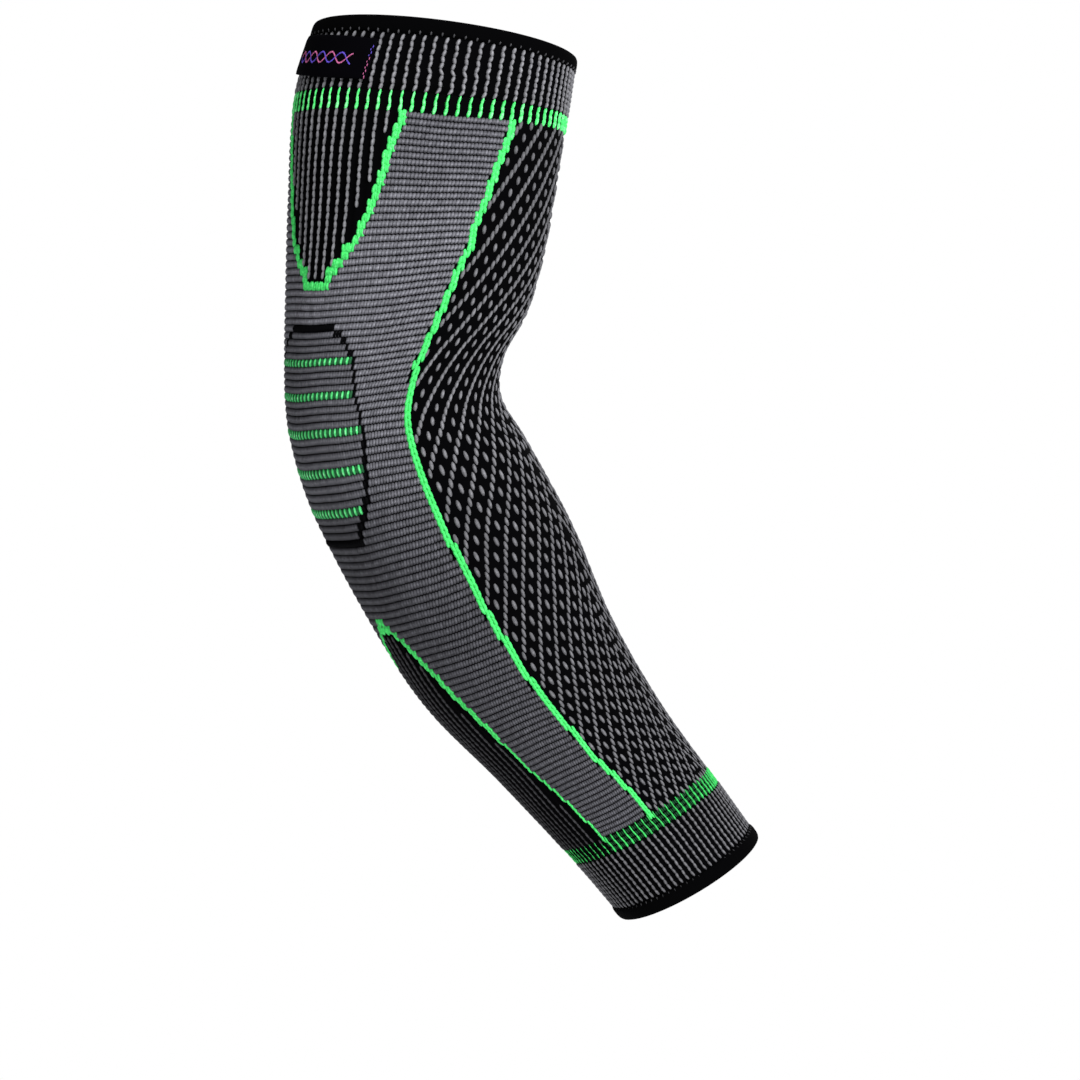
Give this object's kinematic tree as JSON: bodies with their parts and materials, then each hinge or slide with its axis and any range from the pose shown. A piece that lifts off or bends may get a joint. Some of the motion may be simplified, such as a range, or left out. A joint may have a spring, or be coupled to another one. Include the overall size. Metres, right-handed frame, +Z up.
{
  "type": "arm compression sleeve",
  "caption": "Knitted arm sleeve for support, bent at the elbow as worn, with ribbed cuffs, rolled hems, an elbow pad and a sewn label.",
  "frame": {"origin": "on the sleeve's centre line at the elbow bend, inside the hollow, where the arm holds it", "axes": "+Z up along the upper arm, +X to the side that the forearm bends to, so -X is the point of the elbow, and Y across the arm"},
  "size_m": [0.2095, 0.096, 0.3197],
  "materials": {
    "hem_knit": "smooth black elastic knit",
    "cuff_knit": "ribbed knit, black with grey chains of stitches",
    "body_knit": "patterned knit in grey, black and bright green",
    "pad_knit": "soft cross-ribbed knit with rows of green ticks",
    "label_cloth": "woven black tape with coloured stitching"
  },
  "bodies": {
    "root": {"upper_hem": "hem_knit", "upper_cuff": "cuff_knit", "sleeve_body": "body_knit", "elbow_pad": "pad_knit", "lower_cuff": "cuff_knit", "lower_hem": "hem_knit", "label": "label_cloth"}
  },
  "joints": []
}
